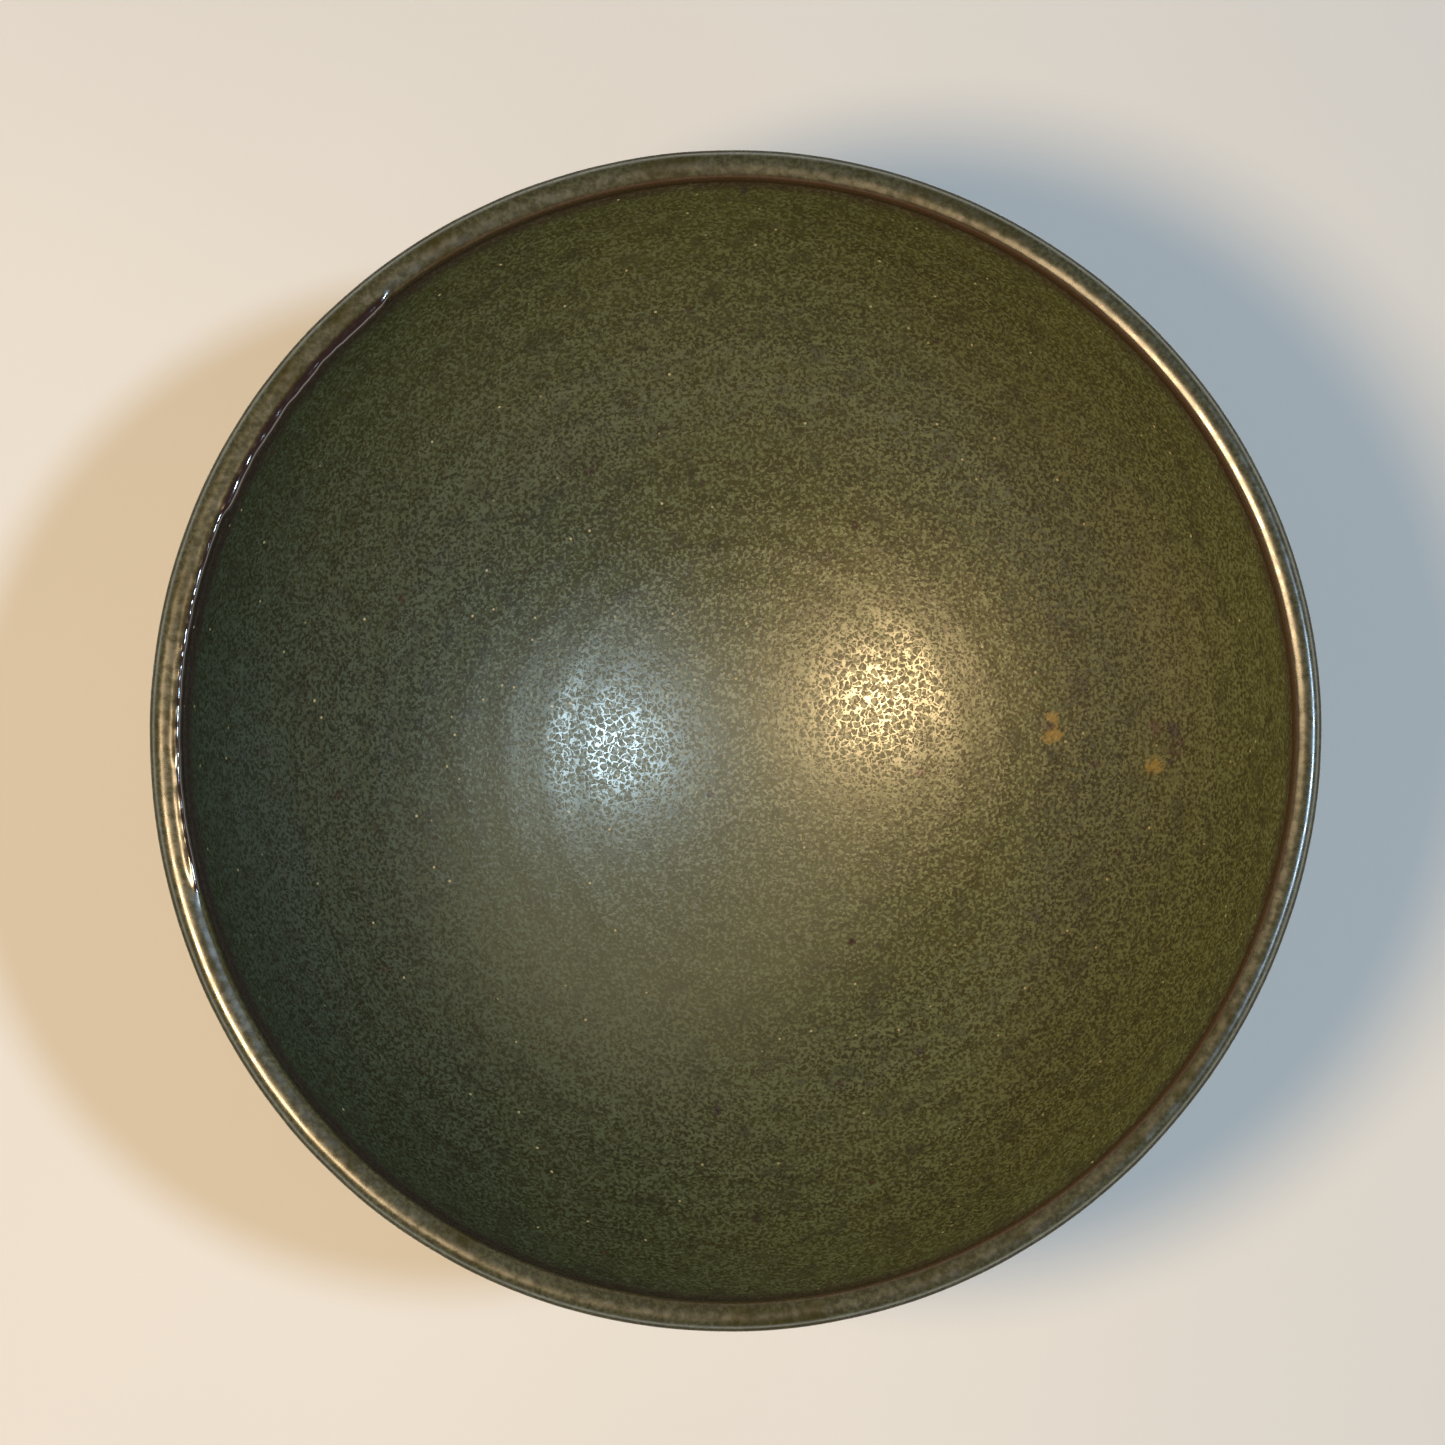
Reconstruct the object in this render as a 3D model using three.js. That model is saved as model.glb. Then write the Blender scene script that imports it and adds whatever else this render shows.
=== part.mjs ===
// A thrown stoneware bowl for whisked tea: a clay body luted onto a foot ring, with a
// satin glaze inside, the same glaze outside, and a glossier coat over the lip.
// Millimetres, +Z up. The origin is the centre of the foot's resting face.

import * as THREE from 'three';

// Driving dimensions of the fired, glazed bowl
const HEIGHT = 60;
const RIM_RADIUS = 61;
const LIP_THICKNESS = 2.95;
const FLOOR_HEIGHT = 11.5; // of the glazed floor inside
const INSIDE_ROUNDNESS = 1.9; // exponent of the section's curve: 2 is an ellipse, more is squarer
const OUTSIDE_ROUNDNESS = 2;
const GLAZE_THICKNESS = 0.6;
const GLAZE_GAP = 0.15; // between a coat of glaze and the clay, and between two coats
const GLAZE_LINE_HEIGHT = 12; // where the outside glaze stops above the foot
const RIM_COAT_INSIDE = 1.1; // how far the lip's coat runs down inside, from the lip's centre
const RIM_COAT_OUTSIDE = 6;

const FOOT_HEIGHT = 8; // where the outside wall meets the foot
const FOOT_TOP_RADIUS = 27;
const FOOT_BASE_RADIUS = 26;
const FOOT_EDGE = 0.9; // rounding of the two edges that meet the table
const RECESS_RADIUS = 20.5;
const RECESS_DEPTH = 6;
const NIPPLE_RADIUS = 5; // low cone that trimming leaves in the middle of the recess
const NIPPLE_HEIGHT = 0.8;

// The wall is a little out of round. Each lobe's size is measured at the lip, and it
// fades to nothing at the foot. The hollow is also off the outside's centre, by one
// shift at its floor and another at the lip.
const LOBES = [
  { count: 2, size: 0.35, turn: THREE.MathUtils.degToRad(79) },
  { count: 3, size: 0.25, turn: THREE.MathUtils.degToRad(14) },
  { count: 5, size: 0.08, turn: THREE.MathUtils.degToRad(10) },
];
const FLOOR_SHIFT = new THREE.Vector2(3.7, 0);
const LIP_SHIFT = new THREE.Vector2(0.22, -0.07);

// Facets
const TURN_STEPS = 60;
const INSIDE_STEPS = 13;
const RIM_STEPS = 8;
const OUTSIDE_STEPS = 11;
const BARE_STEPS = 3;
const EDGE_STEPS = 3;

// Worked out from the dimensions above
const LIP_RADIUS = LIP_THICKNESS / 2;
const LIP_HEIGHT = HEIGHT - LIP_RADIUS; // of the lip's centre, and of both walls' tops
const CLAY_DEPTH = GLAZE_THICKNESS + GLAZE_GAP; // of the clay under the glazed surface
const QUARTER_TURN = Math.PI / 2;

// One side of the wall is a quarter of a superellipse, from the axis up to the lip.
const inside = {
  radius: RIM_RADIUS - LIP_THICKNESS,
  depth: LIP_HEIGHT - FLOOR_HEIGHT,
  roundness: INSIDE_ROUNDNESS,
};
const outside = {
  radius: RIM_RADIUS,
  depth: depthThrough(RIM_RADIUS, OUTSIDE_ROUNDNESS, FOOT_TOP_RADIUS, FOOT_HEIGHT),
  roundness: OUTSIDE_ROUNDNESS,
};

// Depth of a superellipse that has this radius at the lip and passes through (r, z).
function depthThrough(radius, roundness, r, z) {
  return (LIP_HEIGHT - z) / (1 - (r / radius) ** roundness) ** (1 / roundness);
}

// The angle along a wall, 0 on the axis and a quarter turn at the lip, that lies at height z.
function angleAt(wall, z) {
  return Math.acos(((LIP_HEIGHT - z) / wall.depth) ** (wall.roundness / 2));
}

function radiusAt(wall, z) {
  const fall = THREE.MathUtils.clamp((LIP_HEIGHT - z) / wall.depth, 0, 1);
  return wall.radius * (1 - fall ** wall.roundness) ** (1 / wall.roundness);
}

// The point on a wall at an angle, moved `depth` into the clay. `towards` is +1 where the
// clay lies away from the bowl's hollow, as it does inside, and -1 outside.
function wallPoint(wall, angle, depth, towards) {
  const across = Math.sin(angle) ** (2 / wall.roundness);
  const down = Math.cos(angle) ** (2 / wall.roundness);
  const normal = new THREE.Vector2(
    across ** (wall.roundness - 1) / wall.radius,
    -(down ** (wall.roundness - 1)) / wall.depth,
  ).normalize();
  return new THREE.Vector2(wall.radius * across, LIP_HEIGHT - wall.depth * down)
    .addScaledVector(normal, towards * depth);
}

// The point on the half-round lip, from 0 at its inner side to half a turn at its outer side.
function lipPoint(angle, depth) {
  const reach = LIP_RADIUS - depth;
  return new THREE.Vector2(
    RIM_RADIUS - LIP_RADIUS - reach * Math.cos(angle),
    LIP_HEIGHT + reach * Math.sin(angle),
  );
}

// `steps` + 1 values evenly spread from `first` to `last`.
function spread(first, last, steps) {
  return Array.from({ length: steps + 1 }, (_, i) => first + ((last - first) * i) / steps);
}

// The stretches of the section's outline, each a function from depth to points, in order
// from the middle of the floor over the lip and down to the foot.
const rimInsideAngle = angleAt(inside, LIP_HEIGHT - RIM_COAT_INSIDE);
const rimOutsideAngle = angleAt(outside, LIP_HEIGHT - RIM_COAT_OUTSIDE);
const insideAngles = spread(0, rimInsideAngle - GLAZE_GAP / inside.depth, INSIDE_STEPS);
const outsideAngles = spread(
  rimOutsideAngle - GLAZE_GAP / outside.depth,
  angleAt(outside, GLAZE_LINE_HEIGHT),
  OUTSIDE_STEPS,
);

function insideStretch(depth) {
  return insideAngles.map((angle) => wallPoint(inside, angle, depth, 1));
}

function rimStretch(depth) {
  return [
    wallPoint(inside, rimInsideAngle, depth, 1),
    ...spread(0, Math.PI, RIM_STEPS).map((angle) => lipPoint(angle, depth)),
    wallPoint(outside, rimOutsideAngle, depth, -1),
  ];
}

function outsideStretch(depth) {
  return outsideAngles.map((angle) => wallPoint(outside, angle, depth, -1));
}

// Bare clay below the glaze, down to the corner where the wall meets the foot.
function bareStretch(depth) {
  const first = angleAt(outside, GLAZE_LINE_HEIGHT);
  const last = angleAt(outside, FOOT_HEIGHT);
  return spread(first, last, BARE_STEPS).slice(1)
    .map((angle) => wallPoint(outside, angle, depth, -1));
}

// A coat of glaze as a closed section: its outer face, then its face on the clay.
function coatSection(stretch) {
  const section = [...stretch(0), ...stretch(GLAZE_THICKNESS).reverse()];
  if (section[0].x > 0) section.push(section[0].clone());
  return section;
}

function claySection() {
  return [
    ...insideStretch(CLAY_DEPTH),
    ...rimStretch(CLAY_DEPTH),
    ...outsideStretch(CLAY_DEPTH),
    ...bareStretch(CLAY_DEPTH),
    new THREE.Vector2(FOOT_TOP_RADIUS, RECESS_DEPTH),
    new THREE.Vector2(RECESS_RADIUS, RECESS_DEPTH),
    new THREE.Vector2(NIPPLE_RADIUS, RECESS_DEPTH),
    new THREE.Vector2(0, RECESS_DEPTH - NIPPLE_HEIGHT),
  ];
}

// The ring's top is luted to the flat base of the body, so it stops a gap short of it.
function footSection() {
  const top = RECESS_DEPTH - GLAZE_GAP;
  const innerEdge = RECESS_RADIUS + FOOT_EDGE;
  const outerEdge = FOOT_BASE_RADIUS - FOOT_EDGE;
  const outline = new THREE.Path()
    .moveTo(FOOT_TOP_RADIUS, top)
    .lineTo(FOOT_BASE_RADIUS, FOOT_EDGE)
    .absarc(outerEdge, FOOT_EDGE, FOOT_EDGE, 0, -QUARTER_TURN, true)
    .lineTo(innerEdge, 0)
    .absarc(innerEdge, FOOT_EDGE, FOOT_EDGE, -QUARTER_TURN, -2 * QUARTER_TURN, true)
    .lineTo(RECESS_RADIUS, top)
    .lineTo(FOOT_TOP_RADIUS, top);
  return outline.getPoints(EDGE_STEPS);
}

// Moves one vertex of the true round shape to where the uneven bowl has it.
function bend(vertex) {
  const rise = THREE.MathUtils.smoothstep(vertex.z, FOOT_HEIGHT, HEIGHT);
  const turn = Math.atan2(vertex.y, vertex.x);
  const radius = Math.hypot(vertex.x, vertex.y);
  const outer = radiusAt(outside, vertex.z);
  const inner = radiusAt(inside, vertex.z);
  const inwards = THREE.MathUtils.clamp((outer - radius) / (outer - inner), 0, 1);
  const aboveBase = THREE.MathUtils.smoothstep(vertex.z, RECESS_DEPTH, FLOOR_HEIGHT - CLAY_DEPTH);
  const shift = FLOOR_SHIFT.clone().lerp(LIP_SHIFT, rise).multiplyScalar(inwards * aboveBase);
  let swell = 0;
  for (const lobe of LOBES) swell += lobe.size * Math.cos(lobe.count * (turn - lobe.turn));
  const stretch = 1 + (rise * swell) / RIM_RADIUS;
  vertex.x = vertex.x * stretch + shift.x;
  vertex.y = vertex.y * stretch + shift.y;
}

// Turns a section about the bowl's axis, stands it upright and bends it out of round. The
// sections here run clockwise, and a lathe's faces point out of an anticlockwise one.
function throwShape(section) {
  const anticlockwise = [...section].reverse();
  const geometry = new THREE.LatheGeometry(anticlockwise, TURN_STEPS).rotateX(QUARTER_TURN);
  const positions = geometry.getAttribute('position');
  const vertex = new THREE.Vector3();
  for (let i = 0; i < positions.count; i++) {
    vertex.fromBufferAttribute(positions, i);
    bend(vertex);
    positions.setXYZ(i, vertex.x, vertex.y, vertex.z);
  }
  geometry.computeVertexNormals();
  return geometry;
}

const bareClay = { color: '#7d6350', roughness: 0.9, metalness: 0 };
const satinGlaze = { color: '#4c4d38', roughness: 0.5, metalness: 0 };
const lipGlaze = { color: '#453a30', roughness: 0.3, metalness: 0 };

function piece(name, section, finish) {
  const mesh = new THREE.Mesh(throwShape(section), new THREE.MeshStandardMaterial(finish));
  mesh.name = name;
  return mesh;
}

const bowl = new THREE.Group();
bowl.add(piece('clay_body', claySection(), bareClay));
bowl.add(piece('foot_ring', footSection(), bareClay));
bowl.add(piece('inner_glaze', coatSection(insideStretch), satinGlaze));
bowl.add(piece('rim_glaze', coatSection(rimStretch), lipGlaze));
bowl.add(piece('outer_glaze', coatSection(outsideStretch), satinGlaze));

export default bowl;
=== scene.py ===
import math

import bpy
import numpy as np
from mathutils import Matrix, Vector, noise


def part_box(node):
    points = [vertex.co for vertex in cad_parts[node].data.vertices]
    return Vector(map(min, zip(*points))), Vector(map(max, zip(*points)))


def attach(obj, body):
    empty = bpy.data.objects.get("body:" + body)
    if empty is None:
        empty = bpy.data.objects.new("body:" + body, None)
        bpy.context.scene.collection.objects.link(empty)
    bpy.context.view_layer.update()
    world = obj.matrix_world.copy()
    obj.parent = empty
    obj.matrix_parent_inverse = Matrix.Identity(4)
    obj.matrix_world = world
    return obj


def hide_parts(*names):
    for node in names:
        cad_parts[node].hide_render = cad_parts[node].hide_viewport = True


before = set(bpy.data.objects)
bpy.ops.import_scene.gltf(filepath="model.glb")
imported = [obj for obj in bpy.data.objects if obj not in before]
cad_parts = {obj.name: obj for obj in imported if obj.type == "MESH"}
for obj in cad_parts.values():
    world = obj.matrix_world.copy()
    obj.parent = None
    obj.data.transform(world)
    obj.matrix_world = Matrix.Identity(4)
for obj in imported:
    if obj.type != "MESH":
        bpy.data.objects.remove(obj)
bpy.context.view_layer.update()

# A matcha bowl: thrown stoneware with a satin olive glaze, and a darker, glossier coat over
# the lip. Lengths here are millimetres, and meshes, lights and the camera are put into
# metres as they are made. Angles go round the bowl from +X towards +Y.

MM = 0.001
FULL_TURN = 2 * math.pi
QUARTER_TURN = math.pi / 2


# ---- The bowl's sizes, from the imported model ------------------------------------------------

def box_mm(node):
    low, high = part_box(node)
    return low / MM, high / MM


rim_low, rim_high = box_mm("rim_glaze")
floor_low, _ = box_mm("inner_glaze")
outer_low, _ = box_mm("outer_glaze")
_, foot_high = box_mm("foot_ring")

HEIGHT = rim_high.z
RIM_RADIUS = (rim_high.x - rim_low.x + rim_high.y - rim_low.y) / 4
GLAZE = 0.6           # thickness of a coat
GAP = 0.15            # between a coat and the clay
CLAY_DEPTH = GLAZE + GAP
FLOOR_HEIGHT = floor_low.z + GLAZE
GLAZE_LINE = outer_low.z
FOOT_RADIUS = foot_high.x
BASE_HEIGHT = foot_high.z + GAP   # of the body's flat underside, which the foot is luted to
FOOT_CORNER = 8.0     # height where the wall's outside meets the foot
RECESS_RADIUS = 20.5
FOOT_TAPER = 1.0      # how much narrower the foot is at the table
FOOT_EDGE = 0.9

INSIDE_ROUNDNESS = 1.9   # of the walls' sections, where 2 is an ellipse
OUTSIDE_ROUNDNESS = 2.0
RIM_COAT_INSIDE = 1.1    # how far the lip's coat runs down the walls from their tops
RIM_COAT_OUTSIDE = 6.0

# The lip's section on both sides of its crest, as arcs of (degrees turned, radius). The
# inner side has a gentle bevel, then a tight shoulder.
INNER_LIP = ((21, 2.9), (3, 8.0), (66, 0.45))
OUTER_LIP = ((90, 1.25),)
CURVE_POINTS = 3000   # along each curve of the section


def lip_side(arcs):
    """How far across and down from the lip's crest the points of its arcs are."""
    across, down, heading = [0.0], [0.0], 0.0
    for degrees, radius in arcs:
        turned = np.linspace(heading, heading + math.radians(degrees), CURVE_POINTS)[1:]
        across = np.append(across, across[-1] + radius * (np.sin(turned) - math.sin(heading)))
        down = np.append(down, down[-1] + radius * (math.cos(heading) - np.cos(turned)))
        heading = turned[-1]
    return across, down


INWARDS, INNER_FALL = lip_side(INNER_LIP)
OUTWARDS, OUTER_FALL = lip_side(OUTER_LIP)
LIP_THICKNESS = INWARDS[-1] + OUTWARDS[-1]
LIP_HEIGHT = HEIGHT - LIP_THICKNESS / 2   # of both walls' tops

# The wall's lobes: how many, how high at the lip, and the angle of one crest
LOBES = ((2, 0.35, math.radians(79)), (3, 0.25, math.radians(14)), (5, 0.08, math.radians(10)))
LIP_SHIFT = (0.22, -0.07)  # how far the hollow is off the outside's centre, at the lip
FLOOR_SHIFT = (3.7, 0.0)   # and at its floor

TURN_POINTS = 480     # round the widest rings
RIM_POINTS = 960      # round the lip's coat, which has the finest relief
FULL_RING = 24.0      # radius from which rings have all TURN_POINTS, and narrower ones fewer
LEAST_RING = 0.2      # radius that even the narrowest rings are taken to have
MOST_HALVINGS = 5     # of TURN_POINTS in the narrowest rings
SAME_PLACE = 1e-9     # points of an outline that are closer than this are one point


# ---- The section, and how it goes out of round ------------------------------------------------

class Wall:
    """One side of the wall in section: a superellipse from the axis up to the lip."""

    def __init__(self, radius, depth, roundness):
        self.radius, self.depth, self.roundness = radius, depth, roundness

    def points(self, angle):
        """Angle 0 is on the axis and a quarter turn is at the lip."""
        r = self.radius * np.sin(angle) ** (2 / self.roundness)
        z = LIP_HEIGHT - self.depth * np.abs(np.cos(angle)) ** (2 / self.roundness)
        return r, z

    def radius_at(self, z):
        fall = np.clip((LIP_HEIGHT - z) / self.depth, 0, 1)
        return self.radius * (1 - fall ** self.roundness) ** (1 / self.roundness)


def depth_through(radius, roundness, r, z):
    """Depth of the wall that has this radius at the lip and passes through (r, z)."""
    return (LIP_HEIGHT - z) / (1 - (r / radius) ** roundness) ** (1 / roundness)


OUTSIDE_DEPTH = depth_through(RIM_RADIUS, OUTSIDE_ROUNDNESS, FOOT_RADIUS, FOOT_CORNER)
INSIDE = Wall(RIM_RADIUS - LIP_THICKNESS, LIP_HEIGHT - FLOOR_HEIGHT, INSIDE_ROUNDNESS)
OUTSIDE = Wall(RIM_RADIUS, OUTSIDE_DEPTH, OUTSIDE_ROUNDNESS)


def smooth(value, low, high):
    t = np.clip((value - low) / (high - low), 0, 1)
    return t * t * (3 - 2 * t)


def bend(r, z, angle):
    """Places points of the true round section where the slightly uneven bowl has them."""
    rise = smooth(z, FOOT_CORNER, HEIGHT)
    outer, inner = OUTSIDE.radius_at(z), INSIDE.radius_at(z)
    above_base = smooth(z, BASE_HEIGHT, FLOOR_HEIGHT - CLAY_DEPTH)
    hollow = np.clip((outer - r) / (outer - inner), 0, 1) * above_base
    swell = sum(size * np.cos(count * (angle - turn)) for count, size, turn in LOBES)
    stretch = 1 + rise * swell / RIM_RADIUS
    shift_x, shift_y = (
        hollow * (floor + rise * (lip - floor)) for floor, lip in zip(FLOOR_SHIFT, LIP_SHIFT)
    )
    x = r * np.cos(angle) * stretch + shift_x
    y = r * np.sin(angle) * stretch + shift_y
    return np.stack([x, y, z], axis=1)


class Outline:
    """A line in the bowl's section, measured by the length along it, with the clay on its right."""

    def __init__(self, r, z):
        step = np.hypot(np.diff(r), np.diff(z))
        apart = step > SAME_PLACE
        keep = np.concatenate([[True], apart])
        self.r, self.z = r[keep], z[keep]
        self.along = np.concatenate([[0], np.cumsum(step[apart])])
        slope_r = np.gradient(self.r, self.along)
        slope_z = np.gradient(self.z, self.along)
        size = np.hypot(slope_r, slope_z)
        self.into_r, self.into_z = slope_z / size, -slope_r / size
        self.top = int(np.argmax(self.z))

    def at(self, along, depth):
        """The point this far along, moved this far into the clay."""
        r = np.interp(along, self.along, self.r) + depth * np.interp(along, self.along, self.into_r)
        z = np.interp(along, self.along, self.z) + depth * np.interp(along, self.along, self.into_z)
        return np.maximum(r, 0), z

    def inside(self, height):
        """How far along the inner side reaches this height."""
        return float(np.interp(height, self.z[: self.top + 1], self.along[: self.top + 1]))

    def outside(self, height):
        """How far along the outer side reaches this height."""
        falling = slice(None, self.top - 1, -1)
        return float(np.interp(height, self.z[falling], self.along[falling]))


def bowl_outline():
    """The glazed surface's section, from the middle of the floor over the lip to the foot."""
    rise = np.linspace(0, QUARTER_TURN, CURVE_POINTS)
    inner_r, inner_z = INSIDE.points(rise)
    crest = RIM_RADIUS - OUTWARDS[-1]
    outer_r, outer_z = OUTSIDE.points(rise[::-1])
    bowl = outer_z > FOOT_CORNER
    r = np.concatenate([inner_r, crest - INWARDS[::-1], crest + OUTWARDS, outer_r[bowl]])
    z = np.concatenate([inner_z, HEIGHT - INNER_FALL[::-1], HEIGHT - OUTER_FALL, outer_z[bowl]])
    return Outline(r, z)


BOWL = bowl_outline()
RIM_START = BOWL.inside(LIP_HEIGHT - RIM_COAT_INSIDE)
RIM_END = BOWL.outside(LIP_HEIGHT - RIM_COAT_OUTSIDE)
LIP_TOP = BOWL.inside(HEIGHT)
COAT_END = BOWL.outside(GLAZE_LINE + GLAZE)
FOOT_START = BOWL.along[-1]


# ---- Relief: functions from places on the bowl to millimetres out of the clay -----------------

def waves(places, size, seed):
    """Smooth noise from about -1 to 1, whose humps are about `size` across."""
    shift = Vector((3.1 * seed, 7.7 * seed, 5.3 * seed))
    return np.array([noise.noise(Vector(p) / size + shift) for p in places])


def near_angle(angle, centre, full, reach):
    """1 within `full` degrees of an angle, falling smoothly to 0 at `reach` degrees from it."""
    apart = np.abs((np.degrees(angle) - centre + 180) % 360 - 180)
    return 1 - smooth(apart, full, reach)


def round_edge(distance, radius):
    """0 at an edge, rising as a quarter circle to 1 at `radius` from it."""
    return np.sqrt(1 - (1 - np.clip(distance / radius, 0, 1)) ** 2)


# Throwing lines, which spiral up the wall
THROW_PITCH = 5.4
THROW_DRIFT = 0.35        # share of the pitch by which they wander
THROW_INSIDE = 0.018      # height of the lines inside
THROW_OUTSIDE = 0.11
PLAIN_FLOOR = (6, 24)     # along the inside, where the lines start and where they are full
PLAIN_SEAM = 8            # how far from a seam the lines are full

# Shallow dents that the thrower's hands left
DENTS_INSIDE = 0.10
DENTS_OUTSIDE = 0.12
DENT_SIZE_INSIDE = 26.0
DENT_SIZE_OUTSIDE = 22.0
EVEN_SEAM = 5             # how far from the inner seam they are full

# A faint round groove in the floor
GROOVE_CENTRE = (3.0, -0.8)
GROOVE_RADIUS = 27.0
GROOVE_DEPTH = 0.04
GROOVE_WIDTH = 4.0

# The lip's coat, which has pooled in a bead along its inner edge
LIP_RISE = 0.05           # of the coat above the outline
LIP_LUMPS = 0.03
LIP_RIPPLES = 0.006
LIP_EDGE_INSIDE = 0.5     # width over which the coat rounds off at its inner edge
LIP_EDGE_OUTSIDE = 0.6
BEAD_HEIGHT = 0.65
THIN_HEIGHT = 0.7         # of the low part of the bead, as a share of the full part
THICK_BEAD = -1.95        # of the bead's middle, past the top of the lip, where it is full
THIN_BEAD = -1.55         # and where it is low
THICK_WIDTH = 0.6
THIN_WIDTH = 0.42

# Edges of the coats
SEAM_SINK = 0.3           # how deep a coat's edge dips at a seam
SINK_INSIDE = (-0.3, 1.2)     # distances from the seam between which the inside coat dips
SINK_OUTSIDE = (-0.5, 1.5)
FOOT_SLOPE = 0.9          # width over which the outside coat rounds off above the foot
FOOT_DROP = 0.9           # share of its thickness that it loses there
ROLL_HEIGHT = 0.3         # of the thick roll that it ends in
ROLL_PLACE = 1.2          # from its edge
ROLL_WIDTH = 1.1

# The wavy lower edges, and where glaze ran down them: (length, angle, half width)
GLAZE_SHORT = 1.6         # how far the outside glaze stops short of its packed end
GLAZE_WAVES = 0.9
RIM_WAVES = 1.0
RIM_FINE_WAVES = 0.5
GLAZE_DRIPS = ((1.6, 205, 9), (1.1, 320, 7))
RIM_DRIPS = ((1.8, 20, 10), (1.4, 240, 8))


def throwing_lines(along, angle, places):
    turns = along / THROW_PITCH - angle / FULL_TURN
    drift = THROW_DRIFT * waves(places, size=30, seed=1)
    return np.cos(FULL_TURN * (turns + drift))


def inner_relief(along, angle, places):
    to_seam = RIM_START - along
    fade = smooth(along, *PLAIN_FLOOR) * smooth(to_seam, 0, PLAIN_SEAM)
    rings = THROW_INSIDE * throwing_lines(along, angle, places) * fade
    dents = DENTS_INSIDE * waves(places, DENT_SIZE_INSIDE, seed=2)
    from_centre = np.hypot(places[:, 0] - GROOVE_CENTRE[0], places[:, 1] - GROOVE_CENTRE[1])
    groove = -GROOVE_DEPTH * np.exp(-(((from_centre - GROOVE_RADIUS) / GROOVE_WIDTH) ** 2))
    sink = -SEAM_SINK * (1 - smooth(to_seam, *SINK_INSIDE))
    return rings + (dents + groove) * smooth(to_seam, 0, EVEN_SEAM) + sink


def full_bead(angle):
    """1 where the glaze pooled most along the lip's inner edge, and 0 elsewhere."""
    return near_angle(angle, centre=143, full=13, reach=15)


def bead_size(angle, places):
    """How full the pooled bead of lip glaze is."""
    thin = near_angle(angle, centre=176, full=17, reach=23)
    lumps = 0.8 + 0.35 * waves(places, size=4.5, seed=3) + 0.25 * waves(places, size=1.4, seed=4)
    return np.maximum(full_bead(angle), THIN_HEIGHT * thin) * np.clip(lumps, 0.2, 1.2)


def rim_relief(share, angle, places, reach):
    """`share` runs from 0 at the inner edge to 1 at the outer one, `reach` millimetres away."""
    over = RIM_START + share * reach - LIP_TOP
    inner_edge = round_edge(share * reach, LIP_EDGE_INSIDE)
    outer_edge = round_edge((1 - share) * reach, LIP_EDGE_OUTSIDE)
    middle = THIN_BEAD + (THICK_BEAD - THIN_BEAD) * full_bead(angle)
    width = THIN_WIDTH + (THICK_WIDTH - THIN_WIDTH) * full_bead(angle)
    bead = BEAD_HEIGHT * bead_size(angle, places) * np.exp(-(((over - middle) / width) ** 2))
    lumps = LIP_LUMPS * waves(places, size=5, seed=5) + LIP_RIPPLES * waves(places, size=1.6, seed=6)
    return (inner_edge * outer_edge - 1) * SEAM_SINK + inner_edge * (LIP_RISE + bead + lumps)


def outer_relief(along, angle, places, end):
    """`end` is how far along the outside the glaze runs at each angle."""
    from_rim = along - RIM_END
    top = 1 - smooth(from_rim, *SINK_OUTSIDE)
    foot_edge = round_edge(end - along, FOOT_SLOPE)
    roll = ROLL_HEIGHT * np.exp(-(((end - along - ROLL_PLACE) / ROLL_WIDTH) ** 2))
    lines = throwing_lines(along, angle, places)
    rings = THROW_OUTSIDE * lines * smooth(from_rim, 0, PLAIN_SEAM)
    dents = DENTS_OUTSIDE * waves(places, DENT_SIZE_OUTSIDE, seed=7)
    thinner = (foot_edge - 1) * GLAZE * FOOT_DROP
    return thinner + (rings + dents + roll) * foot_edge - SEAM_SINK * top


def drips(angle, runs):
    """How far the glaze ran down at an angle."""
    return sum(length * near_angle(angle, centre, 0, reach) for length, centre, reach in runs)


def glaze_end(angle, places):
    """How far along the outside the glaze runs."""
    edge = COAT_END - GLAZE_SHORT + GLAZE_WAVES * waves(places, size=14, seed=8)
    return edge + drips(angle, GLAZE_DRIPS)


def rim_end(angle, places):
    """How far along the outside the lip's coat runs."""
    coarse = RIM_WAVES * waves(places, size=11, seed=9)
    fine = RIM_FINE_WAVES * waves(places, size=4, seed=10)
    return RIM_END + (coarse + fine) + drips(angle, RIM_DRIPS)


# ---- Meshes from rings of points -------------------------------------------------------------

def ring_points(radius):
    """How many points a ring has: half as many each time it gets half as wide."""
    halvings = max(0, math.ceil(math.log2(FULL_RING / max(radius, LEAST_RING))))
    return TURN_POINTS // 2 ** min(halvings, MOST_HALVINGS)


def turn_angles(count):
    """Angles of a ring's points."""
    return np.linspace(0, FULL_TURN, count, endpoint=False)


def join_rings(a, b, start_a, start_b):
    """Faces between two rings of points. Counts are equal, or one is double the other, or 1."""
    if a == 1:
        return [(start_a, start_b + i, start_b + (i + 1) % b) for i in range(b)]
    if b == 1:
        return [(start_a + (i + 1) % a, start_a + i, start_b) for i in range(a)]
    faces = []
    for i in range(min(a, b)):
        if a == b:
            j = (i + 1) % a
            faces.append((start_a + j, start_a + i, start_b + i, start_b + j))
            continue
        wide, narrow = (start_a, start_b) if a < b else (start_b, start_a)
        here, there = wide + i, wide + (i + 1) % min(a, b)
        first, middle, last = (narrow + (2 * i + k) % max(a, b) for k in range(3))
        fan = [(here, first, middle), (here, middle, there), (there, middle, last)]
        faces += fan if a < b else [face[::-1] for face in fan]
    return faces


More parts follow.
